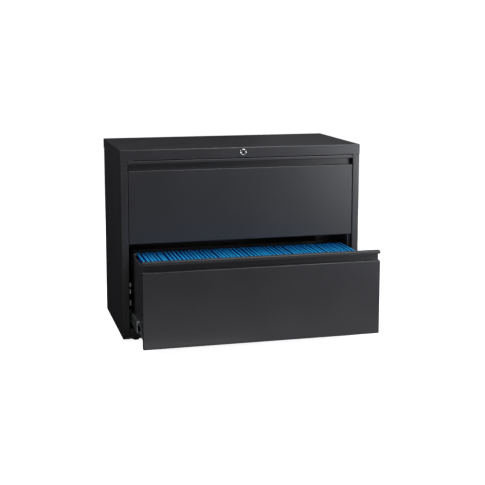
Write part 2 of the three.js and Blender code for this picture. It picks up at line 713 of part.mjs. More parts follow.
function addDrawer(name, frontBottom, open, packs) {
  const drawer = new THREE.Group();
  drawer.position.set(0, frontY - open, frontBottom);
  cabinet.add(drawer);
  const put = (part, body, material = charcoal) => piece(drawer, `${name}_${part}`, body, material);
  put("drawer_front", drawerFront());
  put("front_liner", liner());
  const right = traySide();
  put("drawer_side_right", right);
  put("drawer_side_left", right.mirror([1, 0, 0]).add(catchLug()));
  const floorHalf = trayHalf - SHEET - GAP;
  const backFront = trayRear - SHEET;
  put("drawer_bottom", block(-floorHalf, floorHalf, trayFront, backFront - GAP, TRAY_LIFT, trayFloor));
  put("drawer_back", block(-floorHalf, floorHalf, backFront, trayRear, TRAY_LIFT, trayTop - SHEET - BEND));
  const frontRailY = trayFront + FRONT_RAIL_AT;
  put("hang_rail_front", hangRail(frontRailY), zinc);
  put("hang_rail_rear", hangRail(frontRailY + FILE_SPAN), zinc);
  for (let i = 0; i < packs; i += 1) {
    put(`folder_pack_${i + 1}`, folderPack(i, frontRailY), folderBlue);
  }
  addSlide(name, "right", false, frontBottom, open);
  addSlide(name, "left", true, frontBottom, open);
}

addDrawer("upper", upperFrontBottom, UPPER_OPEN, 0);
addDrawer("lower", lowerFrontBottom, LOWER_OPEN, FOLDER_PACKS);

export default cabinet;
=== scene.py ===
from math import cos, pi, radians, sin

import bmesh
import bpy
import numpy as np
from mathutils import Matrix, Vector


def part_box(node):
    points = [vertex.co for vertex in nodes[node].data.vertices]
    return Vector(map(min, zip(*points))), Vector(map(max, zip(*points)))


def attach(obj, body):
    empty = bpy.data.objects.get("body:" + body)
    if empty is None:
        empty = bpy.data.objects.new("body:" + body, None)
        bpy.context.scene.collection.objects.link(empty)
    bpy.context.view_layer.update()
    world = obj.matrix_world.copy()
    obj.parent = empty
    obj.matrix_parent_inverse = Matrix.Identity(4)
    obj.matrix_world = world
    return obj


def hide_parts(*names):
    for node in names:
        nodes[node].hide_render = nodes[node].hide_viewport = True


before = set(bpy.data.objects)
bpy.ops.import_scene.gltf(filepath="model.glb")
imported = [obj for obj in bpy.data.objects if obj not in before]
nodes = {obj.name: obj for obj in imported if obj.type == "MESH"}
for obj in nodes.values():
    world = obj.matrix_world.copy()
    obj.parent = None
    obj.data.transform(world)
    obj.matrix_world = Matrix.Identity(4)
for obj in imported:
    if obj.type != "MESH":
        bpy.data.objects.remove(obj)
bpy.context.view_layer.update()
MM = 0.001

# The camera stands to the left of the cabinet, a little above its top, and looks at the middle of the front.
CASE_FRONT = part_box("top_cap")[0].y
CAMERA_AZIMUTH, CAMERA_ELEVATION = radians(-14.47), radians(8.48)
CAMERA_DISTANCE = 3.934
CAMERA_AIM = Vector((-0.003, CASE_FRONT, 0.536))
CAMERA_LENS = 78.5
FRAME_WIDTH = 36
CAMERA_SHIFT = -0.1  # keeps the cabinet's uprights nearly parallel
toward_camera = Vector(
    (
        sin(CAMERA_AZIMUTH) * cos(CAMERA_ELEVATION),
        -cos(CAMERA_AZIMUTH) * cos(CAMERA_ELEVATION),
        sin(CAMERA_ELEVATION),
    )
)
camera = bpy.data.objects.new("camera", bpy.data.cameras.new("camera"))
bpy.context.scene.collection.objects.link(camera)
bpy.context.scene.camera = camera
camera.location = CAMERA_AIM + CAMERA_DISTANCE * toward_camera
camera.rotation_mode = "QUATERNION"
camera.rotation_quaternion = (-toward_camera).to_track_quat("-Z", "Y")
camera.data.sensor_width = FRAME_WIDTH
camera.data.lens = CAMERA_LENS
camera.data.shift_y = CAMERA_SHIFT

# ---------------------------------------------------------------------------------------------------------
# Side panels: each is one sheet of 1 mm steel, folded to a stile at the front with a return into the case,
# and to a flange behind the back panel. The stile stops under the cap's front flange.

WALL = 1 * MM
BEND = 1.5 * MM  # inside radius of a fold
FOLD_STEPS = 6
EDGE_BREAK = 0.2 * MM  # rounding that deburring and paint give a cut edge
ROUND_FROM = radians(40)  # edges that turn less than this are not rounded
SAME_PLACE, SLACK = 1e-7, 1e-6  # metres: built corners and CAD corners this near are one
CAP_GAP = 0.3 * MM
STILE_RETURN = 18 * MM
REAR_FLANGE = 12 * MM
CHARCOAL = (0.030, 0.030, 0.034)
SATIN = 0.36
LIGHTER, DARKER = 1.16, 0.88  # how far handling haze moves the paint's colour
HAZE_SCALE, SKIN_SCALE = 7, 900  # lumps per metre


def fold_line(corners, wall=WALL, bend=BEND, steps=FOLD_STEPS):
    """The face of a folded sheet in cross-section, with the metal on the left of the way it runs.

    At each corner the line leaves its leg at radius * tan(turn / 2) and follows an arc to the next leg.
    The radius is the inside radius, and a wall more where the fold wraps round the metal.
    """
    corners = np.array(corners, float)
    parts = [corners[:1]]
    for before, corner, after in zip(corners, corners[1:], corners[2:]):
        into = (corner - before) / np.linalg.norm(corner - before)
        away = (after - corner) / np.linalg.norm(after - corner)
        turn = np.arctan2(into[0] * away[1] - into[1] * away[0], into @ away)
        radius = bend + wall if turn > 0 else bend
        start = corner - into * radius * np.tan(abs(turn) / 2)
        centre = start + np.sign(turn) * radius * np.array([-into[1], into[0]])
        arm = start - centre
        angle = np.linspace(0, turn, steps + 1)[:, None]
        parts.append(centre + np.cos(angle) * arm + np.sin(angle) * np.array([-arm[1], arm[0]]))
    parts.append(corners[-1:])
    return np.concatenate(parts)


def carried(line, axis, stations):
    """A cross-section carried along one axis: point (i, j) is point i of the line at station j.

    Along Y the stations are taken backwards, because the swap of axes would turn the faces over.
    """
    stations = np.array(stations, float)
    if axis == "y":
        stations = stations[::-1]
    order = {"x": (2, 0, 1), "y": (0, 2, 1), "z": (0, 1, 2)}[axis]
    grid = np.empty((len(line), len(stations), 3))
    grid[..., :2] = line[:, None]
    grid[..., 2] = stations
    return grid[..., order]


def mirrored(grid):
    """The same surface on the other side of the cabinet: x changes sign and the stations run backwards."""
    return grid[:, ::-1] * (-1, 1, 1)


def grid_faces(rows, columns, keep=None):
    """The quads of a grid, each from corners (i, j), (i+1, j), (i+1, j+1), (i, j+1), where keep is true."""
    index = np.arange(rows * columns).reshape(rows, columns)
    quads = np.stack([index[:-1, :-1], index[1:, :-1], index[1:, 1:], index[:-1, 1:]], -1)
    return (quads[keep] if keep is not None else quads.reshape(-1, 4)).tolist()


def mesh_object(name, points, faces):
    """A mesh at the origin, with corners that share a place merged and unused ones dropped."""
    mesh = bpy.data.meshes.new(name)
    mesh.from_pydata(np.reshape(points, (-1, 3)).tolist(), [], faces)
    work = bmesh.new()
    work.from_mesh(mesh)
    bmesh.ops.remove_doubles(work, verts=work.verts, dist=SAME_PLACE)
    bmesh.ops.delete(work, geom=[v for v in work.verts if not v.link_faces], context="VERTS")
    work.to_mesh(mesh)
    work.free()
    mesh.shade_smooth()
    made = bpy.data.objects.new(name, mesh)
    bpy.context.scene.collection.objects.link(made)
    return made


def softened(piece, break_edge=EDGE_BREAK, wall=None):
    """Gives an open sheet its wall, then rounds its edges and keeps its flats flat."""
    if wall:
        thick = piece.modifiers.new("wall", "SOLIDIFY")
        thick.thickness = wall
        thick.offset = -1
    bevel = piece.modifiers.new("edges", "BEVEL")
    bevel.width = break_edge
    bevel.segments = 2
    bevel.limit_method = "ANGLE"
    bevel.angle_limit = ROUND_FROM
    piece.modifiers.new("flats", "WEIGHTED_NORMAL")
    return piece


def folded_sheet(name, grid, wall=WALL, keep=None):
    """A sheet-metal piece from the grid of its outer face."""
    piece = mesh_object(name, grid, grid_faces(*grid.shape[:2], keep))
    return softened(piece, wall=wall)


class Wire:
    """A node's output. Arithmetic between wires and numbers adds Math nodes."""

    def __init__(self, finish, socket):
        self.finish, self.socket = finish, socket

    def math(self, operation, *values):
        return self.finish.node("ShaderNodeMath", {"operation": operation}, dict(enumerate(values)))

    def __add__(self, other):
        return self.math("ADD", self, other)

    def __rsub__(self, other):
        return self.math("SUBTRACT", other, self)

    def __mul__(self, other):
        return self.math("MULTIPLY", self, other)

    __radd__ = __add__
    __rmul__ = __mul__


class Finish:
    """A material: one Principled shader and the nodes that feed it."""

    def __init__(self, name, constants):
        self.material = bpy.data.materials.new(name)
        self.material.use_nodes = True
        self.tree = self.material.node_tree
        self.shader = self.tree.nodes["Principled BSDF"]
        self.place = self.node("ShaderNodeTexCoord", {}, {}, "Object")
        for socket, value in constants.items():
            self.shader.inputs[socket].default_value = value

    def node(self, kind, settings, inputs, output=0):
        """A node of that type, with its settings made first and then its sockets set or linked."""
        made = self.tree.nodes.new(kind)
        for setting, value in settings.items():
            setattr(made, setting, value)
        for socket, value in inputs.items():
            if isinstance(value, Wire):
                self.tree.links.new(value.socket, made.inputs[socket])
            else:
                made.inputs[socket].default_value = value
        return Wire(self, made.outputs[output])

    def feed(self, socket, wire):
        self.tree.links.new(wire.socket, self.shader.inputs[socket])

    def noise(self, scale, detail=2.0, place=None):
        """Noise from 0 to 1 whose lumps are about 1 / scale metres across."""
        inputs = {"Vector": place or self.place, "Scale": scale, "Detail": detail}
        return self.node("ShaderNodeTexNoise", {}, inputs)

    def part(self, axis):
        """The place along one axis."""
        return self.node("ShaderNodeSeparateXYZ", {}, {"Vector": self.place}, axis)

    def ramp(self, value, low, high):
        """0 below low, 1 above high, and smooth between them."""
        limits = {"Value": value, "From Min": low, "From Max": high}
        return self.node("ShaderNodeMapRange", {"interpolation_type": "SMOOTHSTEP"}, limits)

    def blend(self, share, first, second):
        """A colour between two colours."""
        return self.node("ShaderNodeMix", {"data_type": "RGBA"}, {0: share, 6: first, 7: second}, 2)

    def bump(self, height, distance, strength=1.0):
        relief = {"Height": height, "Distance": distance, "Strength": strength}
        self.feed("Normal", self.node("ShaderNodeBump", {}, relief))


def powder_coat(name, colour, roughness):
    """Satin powder coat: an even colour, a fine orange-peel skin and a faint haze from handling."""
    coat = Finish(name, {"Specular IOR Level": 0.5})
    haze = coat.noise(HAZE_SCALE, 4)
    skin = coat.noise(SKIN_SCALE, 1)
    light = tuple(c * LIGHTER for c in colour)
    dark = tuple(c * DARKER for c in colour)
    coat.feed("Base Color", coat.blend(haze, (*dark, 1), (*light, 1)))
    coat.feed("Roughness", roughness - 0.04 + 0.06 * haze + 0.03 * skin)
    coat.bump(skin, 0.03 * MM, 0.5)
    return coat.material


charcoal_paint = powder_coat("charcoal_paint", CHARCOAL, SATIN)


def finished(piece, material, body, slot, *replaced):
    """Gives a piece its material and its body, and lets it stand for CAD nodes. The slot argument is not
    used.
    """
    piece.data.materials.clear()
    piece.data.materials.append(material)
    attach(piece, body)
    if replaced:
        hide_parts(*replaced)
    return piece


side_low, side_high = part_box("right_side_panel")
cap_low, cap_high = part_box("top_cap")
stile_top = cap_low.z - CAP_GAP
side_line = fold_line(
    [
        (side_low.x, side_low.y + STILE_RETURN),
        (side_low.x, side_low.y),
        (side_high.x, side_low.y),
        (side_high.x, side_high.y),
        (side_high.x - REAR_FLANGE, side_high.y),
    ]
)
side_grid = carried(side_line, "z", [side_low.z, stile_top, side_high.z])
side_keep = np.ones((len(side_line) - 1, 2), bool)
side_keep[:, 1] = side_line[:-1, 1] > side_low.y + BEND + WALL - SLACK
side_keep[: FOLD_STEPS + 1, 1] = False
for side, grid, keep in (
    ("right", side_grid, side_keep),
    ("left", mirrored(side_grid), side_keep[:, ::-1]),
):
    panel = folded_sheet(f"side_{side}", grid, keep=keep)
    finished(panel, charcoal_paint, "case", "charcoal_paint", f"{side}_side_panel")

# ---------------------------------------------------------------------------------------------------------
# Top cap: a shallow pan turned down on four sides, its corners welded and ground smooth, with a hole punched
# in its front flange for the lock.

CAP_CORNER = 3 * MM
LOCK_HOLE = 11.3 * MM
HOLE_SIDES = 32
CUT_REACH = 5 * MM


def pan_ring(low, high, radius, steps=FOLD_STEPS):
    """Places round a rectangle, for a pan's four folds, anticlockwise from the low corner.

    Each corner gives steps + 1 places, all at the centre of its arc, with directions that turn through 90
    degrees. Returns the centres and the directions.
    """
    angle = (np.linspace(0, pi / 2, steps + 1) + np.arange(2, 6)[:, None] * pi / 2).ravel()
    way = np.stack([np.cos(angle), np.sin(angle)], -1)
    corners = np.array([(low[0], low[1]), (high[0], low[1]), (high[0], high[1]), (low[0], high[1])])
    inward = np.array([(1, 1), (-1, 1), (-1, -1), (1, -1)])
    return np.repeat(corners + radius * inward, steps + 1, 0), way


def pan_rows(radius, depth, steps=FOLD_STEPS):
    """How far out and how deep each row of a pan lies: a quarter circle, then a straight flange."""
    angle = np.linspace(0, pi / 2, steps + 1)
    out = np.append(radius * np.sin(angle), radius)
    down = np.append(radius * (1 - np.cos(angle)), depth)
    return out, down


def pan_face(steps=FOLD_STEPS):
    """The flat inside a pan's folds, from the first place of each corner."""
    return [[corner * (steps + 1) for corner in range(4)]]


def drilled(piece, centre, radius, depth):
    """Cuts a round hole along Y with a cutter that is then thrown away."""
    angle = np.linspace(0, 2 * pi, HOLE_SIDES + 1)[:-1]
    circle = np.stack([centre[0] + radius * np.cos(angle), centre[2] + radius * np.sin(angle)], -1)
    grid = carried(np.vstack([circle, circle[:1]]), "y", [centre[1] - depth, centre[1] + depth])
    faces = grid_faces(*grid.shape[:2])
    ends = [list(range(1, 2 * HOLE_SIDES, 2))[::-1], list(range(0, 2 * HOLE_SIDES, 2))]
    cutter = mesh_object("cutter", grid, faces + ends)
    hole = piece.modifiers.new("hole", "BOOLEAN")
    hole.object = cutter
    hole.solver = "EXACT"
    hole.operation = "DIFFERENCE"
    cut = piece.evaluated_get(bpy.context.evaluated_depsgraph_get())
    mesh = bpy.data.meshes.new_from_object(cut)
    piece.modifiers.clear()
    piece.data = mesh
    bpy.data.objects.remove(cutter)
    return piece


centres, ways = pan_ring((cap_low.x, cap_low.y), (cap_high.x, cap_high.y), CAP_CORNER)
out, down = pan_rows(CAP_CORNER, cap_high.z - cap_low.z)
cap_grid = np.empty((len(out), len(ways) + 1, 3))
cap_grid[:, :-1, :2] = centres + out[:, None, None] * ways
cap_grid[:, -1, :2] = cap_grid[:, 0, :2]
cap_grid[..., 2] = cap_high.z - down[:, None]
cap = mesh_object("cap", cap_grid, grid_faces(*cap_grid.shape[:2]) + pan_face())
thick = cap.modifiers.new("wall", "SOLIDIFY")
thick.thickness = WALL
thick.offset = -1
lock_low, lock_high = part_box("lock_housing")
lock_centre = Vector((0, cap_low.y, (lock_low.z + lock_high.z) / 2))
softened(drilled(cap, lock_centre, LOCK_HOLE, CUT_REACH))
finished(cap, charcoal_paint, "case", "charcoal_paint", "top_cap")

# ---------------------------------------------------------------------------------------------------------
# Back panel, base rail and base pan close the case. The back is a flat sheet held by a row of screws through
# each side panel's rear flange, and the pan carries a threaded boss for each foot.

SCREW_ROWS = 6
SCREW_RADIUS = 3.5 * MM
SCREW_HEAD = 1.1 * MM
ZINC = (0.52, 0.53, 0.55)
CLOUDED = 0.78  # how dark the plating's clouds are beside its own colour
ROLLED = (400, 12, 400)  # rolling lines run along Y
RAIL_FOOT = 12 * MM
SAME_FLAT = radians(2)
SCREW_INSET = 0.5 * MM


def turned(name, profile, centre, axis="z", sides=24):
    """A piece turned on a lathe: each (radius, height) of the profile becomes a ring round the axis.

    Known fault: with the profiles used here the faces point inward. A profile that doesn't start on the axis
    leaves its base open.
    """
    profile = np.array(profile, float)
    angle = np.linspace(0, 2 * pi, sides + 1)
    grid = np.empty((len(profile), sides + 1, 3))
    grid[..., 0] = profile[:, :1] * np.cos(angle)
    grid[..., 1] = profile[:, :1] * np.sin(angle)
    grid[..., 2] = profile[:, 1:]
    if axis == "y":
        grid = grid[..., (0, 2, 1)] * (1, -1, 1)
    return mesh_object(name, grid + np.array(centre), grid_faces(*grid.shape[:2]))


def joined(name, parts):
    """Several meshes as one piece."""
    with bpy.context.temp_override(active_object=parts[0], selected_editable_objects=parts):
        bpy.ops.object.join()
    parts[0].name = name
    return parts[0]


def cleaned_copy(name, node, break_edge=EDGE_BREAK):
    """A piece's own shape with its triangles welded into flats and its edges rounded."""
    piece = bpy.data.objects.new(name, nodes[node].data.copy())
    bpy.context.scene.collection.objects.link(piece)
    work = bmesh.new()
    work.from_mesh(piece.data)
    bmesh.ops.remove_doubles(work, verts=work.verts, dist=SLACK)
    bmesh.ops.dissolve_limit(work, angle_limit=SAME_FLAT, verts=work.verts, edges=work.edges)
    work.to_mesh(piece.data)
    work.free()
    piece.data.shade_smooth()
    return softened(piece, break_edge)


def zinc_plate(name, colour, roughness, streak):
    """Plated steel: a bright metal with faint clouding and a fine grain, stretched as streak says."""
    plate = Finish(name, {"Metallic": 1.0})
    cloud = plate.noise(45, 3)
    stretched = plate.node("ShaderNodeMapping", {}, {"Vector": plate.place, "Scale": streak})
    lines = plate.noise(1, 3, stretched)
    dark = tuple(c * CLOUDED for c in colour)
    plate.feed("Base Color", plate.blend(cloud, (*dark, 1), (*colour, 1)))
    plate.feed("Roughness", roughness + 0.16 * cloud + 0.1 * lines)
    plate.bump(lines, 0.02 * MM, 0.4)
    return plate.material


zinc = zinc_plate("zinc_plate", ZINC, 0.28, ROLLED)

back_low, back_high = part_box("back_panel")
back_line = np.array([(back_high.x, back_high.y), (back_low.x, back_high.y)])
back = folded_sheet("back", carried(back_line, "z", [back_low.z, back_high.z]))
finished(back, charcoal_paint, "case", "charcoal_paint", "back_panel")

rail_low, rail_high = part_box("base_rail")
rail_line = fold_line(
    [
        (rail_high.y, rail_high.z),
        (rail_low.y, rail_high.z),
        (rail_low.y, rail_low.z),
        (rail_low.y + RAIL_FOOT, rail_low.z),
    ]
)
rail = folded_sheet("base_rail_front", carried(rail_line, "x", [rail_low.x, rail_high.x]))
finished(rail, charcoal_paint, "case", "charcoal_paint", "base_rail")
pan = cleaned_copy("base", "base_pan")
finished(pan, charcoal_paint, "case", "charcoal_paint", "base_pan")
channel = cleaned_copy("lock_channel", "lock_rail")
finished(channel, charcoal_paint, "case", "charcoal_paint", "lock_rail")

dome = np.linspace(0, pi / 2, 5)
screw_profile = np.stack([SCREW_RADIUS * np.sin(dome), SCREW_HEAD * np.cos(dome)], -1)[::-1]
screws = []
for x in (-1, 1):
    for row in range(SCREW_ROWS):
        z = back_low.z + (row + 0.5) * (cap_low.z - back_low.z) / SCREW_ROWS
        centre = (x * (side_high.x - REAR_FLANGE / 2 - SCREW_INSET), side_high.y, z)
        screw = turned("screw", screw_profile, (0, 0, 0), "y", 16)
        screw.data.transform(Matrix.Translation(centre) @ Matrix.Rotation(pi, 4, "Z"))
        screws.append(screw)
finished(joined("back_screws", screws), zinc, "case", "zinc_steel")

# ---------------------------------------------------------------------------------------------------------
# Slotted posts, plated and welded inside the side panels, carry the slides. A painted steel bar at the back
# of the base keeps the cabinet from tipping when a drawer is out.

for place in ("front", "rear"):
    for side in ("left", "right"):
        node = f"upright_{place}_{side}"
        finished(cleaned_copy(f"post_{place}_{side}", node), zinc, "case", "zinc_steel", node)

BLACK = (0.012, 0.012, 0.013)
WEIGHT_EDGE = 1 * MM
iron = powder_coat("weight_iron", BLACK, 0.6)
weight = cleaned_copy("weight_bar", "counterweight", WEIGHT_EDGE)
finished(weight, iron, "case", "weight_iron", "counterweight")

# ---------------------------------------------------------------------------------------------------------
# Levelling feet: a moulded nylon pad on a threaded steel stem that screws into the base pan's boss.

THREAD_PITCH = 1.75 * MM
THREAD_ROOT, THREAD_CREST = 4.0 * MM, 4.7 * MM
PAD_HEIGHT = 9 * MM
PAD_NECK = 7 * MM


def nylon_finish():
    """Black moulded nylon, dull and slightly pitted."""
    moulded = Finish("black_nylon", {"Base Color": (*BLACK, 1)})
    pits = moulded.noise(500, 2)
    moulded.feed("Roughness", 0.5 + 0.15 * pits)
    moulded.bump(pits, 0.05 * MM, 0.4)
    return moulded.material


nylon = nylon_finish()
for place in ("front_left", "front_right", "rear_left", "rear_right"):
    node = f"foot_{place}"
    low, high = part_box(node)
    radius, middle = (high.x - low.x) / 2, (low + high) / 2
    pad = [
        (0, 0),
        (radius - 1.5 * MM, 0),
        (radius - 0.4 * MM, 0.4 * MM),
        (radius, 1.5 * MM),
        (radius, 4.5 * MM),
        (radius - 0.8 * MM, 5.6 * MM),
        (radius - 3 * MM, 6 * MM),
        (PAD_NECK, 6.3 * MM),
        (PAD_NECK, PAD_HEIGHT),
        (0, PAD_HEIGHT),
    ]
    foot = turned(f"pad_{place}", pad, (middle.x, middle.y, low.z), sides=32)
    foot = softened(foot)
    finished(foot, nylon, node, "nylon", node)
    turns = int((high.z - low.z - PAD_HEIGHT) / THREAD_PITCH)
    ridge = np.arange(2 * turns + 1)
    thread = np.where(ridge % 2, THREAD_CREST, THREAD_ROOT)
    stem = np.stack([thread, PAD_HEIGHT + ridge * THREAD_PITCH / 2], -1)
    stem = np.vstack([stem, [(0, stem[-1, 1])]])
    screw = turned(f"stem_{place}", stem, (middle.x, middle.y, low.z), sides=20)
    finished(screw, zinc, node, "zinc_steel")

# ---------------------------------------------------------------------------------------------------------
# Lock and interlock: a nickel-plated cylinder lock in the cap, a cam, a sliding link and an upright bar with
# tabs that stop the drawers.

NICKEL = (0.86, 0.85, 0.83)
CORE_SHADE_NICKEL = (0.11, 0.11, 0.11)  # painted shade: a dark nickel for the sunk core, so that it reads as a shadow in its ring
BRIGHT_ZINC = (0.88, 0.90, 0.92)
EVEN = (300, 300, 300)  # a grain that runs no way
BORE, BARREL = 8 * MM, 11 * MM
FLANGE = 1.8 * MM
CORE_EDGE = 0.3 * MM
nickel = zinc_plate("nickel_plate", NICKEL, 0.12, EVEN)
# The core's dark nickel is painted shade for the sunk core.
nickel_painted_shade = zinc_plate("nickel_painted_shade", CORE_SHADE_NICKEL, 0.3, EVEN)
bright_zinc = zinc_plate("bright_zinc", BRIGHT_ZINC, 0.42, EVEN)
face_radius = (lock_high.x - lock_low.x) / 2
lock_depth = lock_high.y - lock_low.y
housing_profile = [
    (BORE, lock_depth),
    (BORE, 0.5 * MM),
    (BORE + 0.6 * MM, 0),
    (face_radius - 1.5 * MM, 0),
    (face_radius - 0.3 * MM, 0.4 * MM),
    (face_radius, 1.2 * MM),
    (face_radius, FLANGE),
    (BARREL, FLANGE),
    (BARREL, lock_depth),
    (BORE, lock_depth),
]
housing_rings = [(radius, -depth) for radius, depth in housing_profile[::-1]]
housing = turned("lock_body", housing_rings, (0, lock_low.y, lock_centre.z), "y", 48)
finished(housing, nickel, "case", "nickel", "lock_housing")
core = cleaned_copy("lock_core", "lock_plug", CORE_EDGE)
# The core is finished in the dark nickel: a painted shadow in the lock's ring.
finished(core, nickel_painted_shade, "lock_barrel", "nickel", "lock_plug")
for name, node, body, plating in (
    ("lock_arm", "lock_cam", "lock_barrel", zinc),
    ("link_strip", "lock_link", "lock_link", zinc),
    ("tab_bar", "interlock_bar", "interlock_bar", bright_zinc),
):
    finished(cleaned_copy(name, node), plating, body, "zinc_steel", node)

# ---------------------------------------------------------------------------------------------------------
# Ball-bearing slides: three plated channels, one inside the other, with a cage of steel balls in each track.
# A bright C-shaped stop is pressed on the front end of each middle channel.

STOP_LENGTH = 3 * MM
STOP_LEG = 4.5 * MM
STOP_WEB = 1.9 * MM
STOP_GAP = 0.1 * MM
OUTER_WALL, MEMBER_WALL = 1.2 * MM, 1 * MM
TRACK_BEND = 1.2 * MM
CAGE_EDGE = 0.1 * MM
OILED_ZINC = (0.32, 0.34, 0.35)
track_zinc = zinc_plate("track_zinc", OILED_ZINC, 0.3, ROLLED)


def end_stop(name, near, far, low, high, way):
    """A C-shaped outline carried along Y for the stop's length, with a flat face at each end.

    Known fault: the end faces and the sides don't agree on which way is out.
    """
    outline = [
        (near, low.z),
        (far, low.z),
        (far, high.z),
        (near, high.z),
        (near, high.z - STOP_LEG),
        (far - STOP_WEB, high.z - STOP_LEG),
        (far - STOP_WEB, low.z + STOP_LEG),
        (near, low.z + STOP_LEG),
    ]
    grid = carried(np.array(outline + outline[:1]), "y", [low.y - STOP_LENGTH, low.y - STOP_GAP])
    corners = 2 * len(outline)
    ends = [list(range(1, corners, 2))[::-1], list(range(0, corners, 2))]
    return mesh_object(name, grid if way > 0 else mirrored(grid), grid_faces(*grid.shape[:2]) + ends)


for drawer in ("upper", "lower"):
    for side, way in (("left", -1), ("right", 1)):
        for member, wall, opens, body in (
            ("outer", OUTER_WALL, -1, "case"),
            ("middle", MEMBER_WALL, -1, f"{drawer}_slide_middles"),
            ("inner", MEMBER_WALL, 1, f"{drawer}_drawer"),
        ):
            node = f"{drawer}_slide_{member}_{side}"
            low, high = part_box(node)
            near, far = min(abs(low.x), abs(high.x)), max(abs(low.x), abs(high.x))
            web, edge = (far, near) if opens < 0 else (near, far)
            corners = [(edge, low.z), (web, low.z), (web, high.z), (edge, high.z)]
            line = fold_line(corners if opens < 0 else corners[::-1], wall, TRACK_BEND)
            grid = carried(line, "y", [low.y, high.y])
            rail = folded_sheet(f"{drawer}_{member}_track_{side}", grid if way > 0 else mirrored(grid), wall)
            finished(rail, track_zinc, body, "zinc_steel", node)
            if member == "middle":
                stop = softened(end_stop(f"{drawer}_track_stop_{side}", near, far, low, high, way))
                finished(stop, bright_zinc, body, "zinc_steel")
        for cage in ("outer", "inner"):
            node = f"{drawer}_ball_cage_{cage}_{side}"
            piece = cleaned_copy(f"{drawer}_{cage}_balls_{side}", node, CAGE_EDGE)
            finished(piece, zinc, f"{drawer}_{cage}_cages", "zinc_steel", node)

# ---------------------------------------------------------------------------------------------------------
# Drawer fronts: one sheet each, folded back at the bottom and both ends, and at the top over a shelf, up the
# back of the pull and forward again to a narrow lip. A flat liner closes the back of the hollow panel.

FRONT_RETURN = 18 * MM
LIP = 12 * MM
PULL_GAP = 24 * MM
PULL_DEPTH = 22 * MM
LIP_HEM = 4 * MM


def front_grid(low, high):
    """A drawer front as one grid: columns run round the panel, and rows from its face out over the folds.

    The first rows are a pan's quarter circle and flange on all four sides. The rest are kept on the top side
    only, where they follow the shelf, the back of the pull, the top plate and the lip.
    """
    panel_top = high.z - LIP - PULL_GAP
    radius = BEND + WALL
    centres, ways = pan_ring((low.x, low.z), (high.x, panel_top), radius)
    out, back = pan_rows(radius, FRONT_RETURN)
    around = np.empty((len(out), len(ways) + 1, 3))
    around[:, :-1, 0] = centres[:, 0] + out[:, None] * ways[:, 0]
    around[:, :-1, 2] = centres[:, 1] + out[:, None] * ways[:, 1]
    around[:, -1] = around[:, 0]
    around[..., 1] = low.y + back[:, None]
    pull = fold_line(
        [
            (low.y + FRONT_RETURN, panel_top),
            (low.y + PULL_DEPTH, panel_top),
            (low.y + PULL_DEPTH, high.z - WALL),
            (low.y + WALL, high.z - WALL),
            (low.y + WALL, high.z - LIP + WALL),
            (low.y + LIP_HEM, high.z - LIP + WALL),
        ][::-1]
    )[::-1]
    return around, pull


for drawer in ("upper", "lower"):
    body = f"{drawer}_drawer"
    low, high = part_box(f"{drawer}_drawer_front")
    around, pull = front_grid(low, high)
    columns = around.shape[1]
    ring_faces = grid_faces(len(around), columns)
    top = carried(pull[::-1], "x", [low.x, high.x])
    offset = around.shape[0] * columns
    pull_faces = [[i + offset for i in quad] for quad in grid_faces(*top.shape[:2])]
    points = np.concatenate([around.reshape(-1, 3), top.reshape(-1, 3)])
    panel = mesh_object(f"{drawer}_front", points, ring_faces + pan_face() + pull_faces)
    softened(panel, wall=WALL)
    finished(panel, charcoal_paint, body, "charcoal_paint", f"{drawer}_drawer_front")
    liner = cleaned_copy(f"{drawer}_liner", f"{drawer}_front_liner")
    finished(liner, charcoal_paint, body, "charcoal_paint", f"{drawer}_front_liner")

# ---------------------------------------------------------------------------------------------------------
# Drawer bodies: a floor and a back between two sides whose top edges fold in, all in painted sheet.

for drawer in ("upper", "lower"):
    body = f"{drawer}_drawer"
    for part in ("drawer_side_left", "drawer_side_right", "drawer_bottom", "drawer_back"):
        node = f"{drawer}_{part}"
        piece = cleaned_copy(f"{drawer}_{part.replace('drawer_', 'tray_')}", node)
        finished(piece, charcoal_paint, body, "charcoal_paint", node)
    for place in ("front", "rear"):
        node = f"{drawer}_hang_rail_{place}"
        piece = cleaned_copy(f"{drawer}_file_rail_{place}", node)
        finished(piece, zinc, body, "zinc_steel", node)

# ---------------------------------------------------------------------------------------------------------
# Hanging folders: each is a sheet of blue board folded to a V, with a rounded hem along its two top edges.
# The steel rods in the hems and their hooks are left out.

FOLDER_PITCH = 14.5 * MM
HEM_WIDTH = 3.7 * MM
HEM_HEIGHT = 8 * MM
HEM_LIT, HEM_DARK = 0.2 * MM, 1.4 * MM  # painted shade: below a hem's top its blue sinks to navy between these depths, for the shade in the gaps between folders
SHADE_START, SHADE_END = 0.10, 0.28  # behind the row's front end; a set darkening for the case's shade
SHADE_DEPTH = 0.72
BOARD = 0.6 * MM
BLUE = (0.014, 0.51, 1.0)
GAP_SHADE_NAVY = (0.001, 0.045, 0.24)  # painted shade: the board's blue darkened for the shade in the narrow gaps
ROW_END = 7 * MM
CROWDING = 2.2 * MM  # how far the row bunches up and thins out in a slow wave
SCATTER, MOST_LEAN, TOP_DROP = 1.9, 1.5, 0.5  # millimetres: the most that one folder differs by
LEAST_OPEN, MOST_OPEN = 1.85, 2.6  # millimetres from a folder's middle to each of its hems
HEM_SHARP = radians(50)
rng = np.random.default_rng(7)

pack_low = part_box("lower_folder_pack_1")[0]
pack_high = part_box("lower_folder_pack_3")[1]


